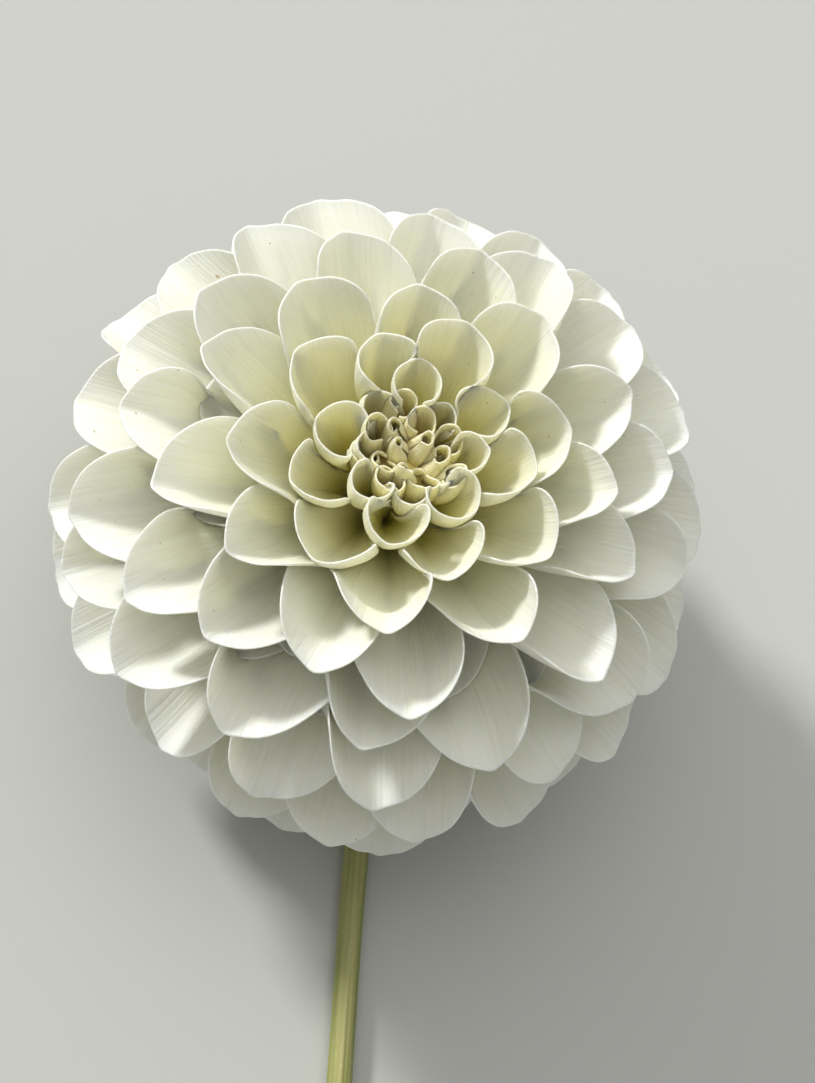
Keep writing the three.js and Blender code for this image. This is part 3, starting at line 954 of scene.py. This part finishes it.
def make_stem(material):
    """The stem: round, with faint lengthwise ridges, and hollow at its cut end."""
    drop = BLOOM_MIDDLE_Z + CALYX_BOTTOM - STEM_SEAT - STEM_RADIUS
    curve = through([(x, -back, STEM_RADIUS + share * drop) for x, back, share in STEM_ROUTE], STEM_STEPS)
    ways = np.gradient(curve, axis=0)
    ways /= np.linalg.norm(ways, axis=1, keepdims=True)
    across = np.cross(ways, [1.0, 0.0, 0.0])
    across /= np.linalg.norm(across, axis=1, keepdims=True)
    other = np.cross(ways, across)
    turn = np.linspace(0, 2 * math.pi, STEM_SIDES, endpoint=False)
    run = np.concatenate([[0], np.cumsum(np.linalg.norm(np.diff(curve, axis=0), axis=1))])
    last = len(curve) - 1

    def ring(at, scale, depth=0):
        sway = RIDGE_SWAY * np.sin(run[at] / RIDGE_SWAY_PACE)
        ridges = WIDE_RIDGES[0] * np.cos(WIDE_RIDGES[1] * turn)
        ridges = ridges + FINE_RIDGES[0] * np.cos(FINE_RIDGES[1] * turn + sway)
        radius = STEM_RADIUS * scale * (GIRTH - GIRTH_CHANGE * np.sin(run[at] / GIRTH_PACE))
        radius = radius + (ridges - RIDGE_ALLOWANCE) * scale
        sides = across[at] * np.cos(turn)[:, None] + other[at] * np.sin(turn)[:, None]
        return curve[at] + sides * radius[:, None] - ways[at] * depth

    rings = [ring(0, STEM_HEAD)] + [ring(at, 1.0) for at in range(len(curve))]
    rings += [ring(last, scale, depth) for scale, depth in CUT_RINGS]
    piths = np.repeat([0.0] * (len(curve) + 1) + [1.0] * len(CUT_RINGS), STEM_SIDES)
    points = np.concatenate(rings)
    points[:, 2] = np.maximum(points[:, 2], STEM_LIFT)
    index = np.arange(len(points)).reshape(len(rings), STEM_SIDES)
    turned = np.roll(index, -1, axis=1)
    faces = np.stack([index[:-1], turned[:-1], turned[1:], index[1:]], -1).reshape(-1, 4).tolist()
    faces += [index[0][::-1].tolist(), index[-1].tolist()]
    stem = make_mesh("fine_stem", points, faces, material, {"pith": piths})
    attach(stem, "root")
    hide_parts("stem")


# The floor, the camera and the light.


def make_floor():
    bpy.ops.mesh.primitive_plane_add(size=FLOOR_SIZE, location=(0, 0, 0))
    floor = bpy.context.object
    floor.name = "floor"
    floor.data.materials.append(plain_material("floor", FLOOR_COLOUR, FLOOR_ROUGHNESS))


def camera_ways():
    """The camera's right, up and back."""
    axis_near = math.sqrt(1 - AXIS_RIGHT**2 - AXIS_UP**2)
    z_way = np.array([AXIS_RIGHT, AXIS_UP, axis_near])
    y_way = np.array([STEM_LEAN, 1, -(STEM_LEAN * AXIS_RIGHT + AXIS_UP) / axis_near])
    y_way = y_way / np.linalg.norm(y_way)
    return np.stack([np.cross(y_way, z_way), y_way, z_way], 1)


def make_camera(middle, right, up, back):
    """A camera that has the bloom's middle at its pixel of the frame."""
    camera = bpy.data.objects.new("camera", bpy.data.cameras.new("camera"))
    bpy.context.scene.collection.objects.link(camera)
    camera.data.sensor_fit = "AUTO"
    camera.data.sensor_width = SENSOR
    camera.data.lens = FOCAL_PIXELS / FRAME_HEIGHT * SENSOR
    camera.data.shift_x = -(MIDDLE_PIXEL[0] - FRAME_WIDTH / 2) / FRAME_HEIGHT
    camera.data.shift_y = (MIDDLE_PIXEL[1] - FRAME_HEIGHT / 2) / FRAME_HEIGHT
    place = np.array(middle) + back * CAMERA_DISTANCE
    rows = [[right[i], up[i], back[i], place[i]] for i in range(3)]
    camera.matrix_world = Matrix(rows + [[0, 0, 0, 1]])
    bpy.context.scene.camera = camera


def make_world():
    world = bpy.data.worlds.new("world")
    bpy.context.scene.world = world
    world.use_nodes = True
    world.node_tree.nodes["Background"].inputs[0].default_value = opaque(WORLD_COLOUR)
    world.node_tree.nodes["Background"].inputs[1].default_value = WORLD_POWER
    bpy.context.scene.view_settings.view_transform = "Standard"


def make_lamp(name, kind, power, colour, offset):
    """A lamp that shines back along its offset from the bloom's middle."""
    lamp = bpy.data.lights.new(name, kind)
    lamp.energy = power
    lamp.color = colour
    made = bpy.data.objects.new(name, lamp)
    bpy.context.scene.collection.objects.link(made)
    made.rotation_mode = "QUATERNION"
    made.rotation_quaternion = (-offset).to_track_quat("-Z", "Y")
    return made


def make_lights(middle, right, up, back):
    """The key light and two soft lamps, placed by the camera's right, up and back."""

    def from_camera(place):
        return Vector(right * place[0] + up * place[1] + back * place[2])

    key = make_lamp("key", "SUN", KEY_POWER, KEY_COLOUR, from_camera(KEY_PLACE))
    key.data.angle = math.radians(KEY_SPREAD)
    for name, light in (("sky", SKY), ("fill", FILL)):
        offset = from_camera(light["place"])
        made = make_lamp(name, "AREA", light["power"], light["colour"], offset)
        made.data.size = light["size"]
        made.location = middle + offset


make_petals(petal_material("petal", **PETAL_LOOK))
make_florets(petal_material("young_floret", **FLORET_LOOK))
make_cores()
make_calyx(green_material("calyx_green", "edge", **CALYX_LOOK))
make_stem(green_material("stem_green", "pith", **STEM_LOOK))
make_floor()
bloom_middle = Vector((0, BLOOM_AXIS_Y * MM, BLOOM_MIDDLE_Z * MM))
view = camera_ways()
make_world()
make_camera(bloom_middle, *view)
make_lights(bloom_middle, *view)
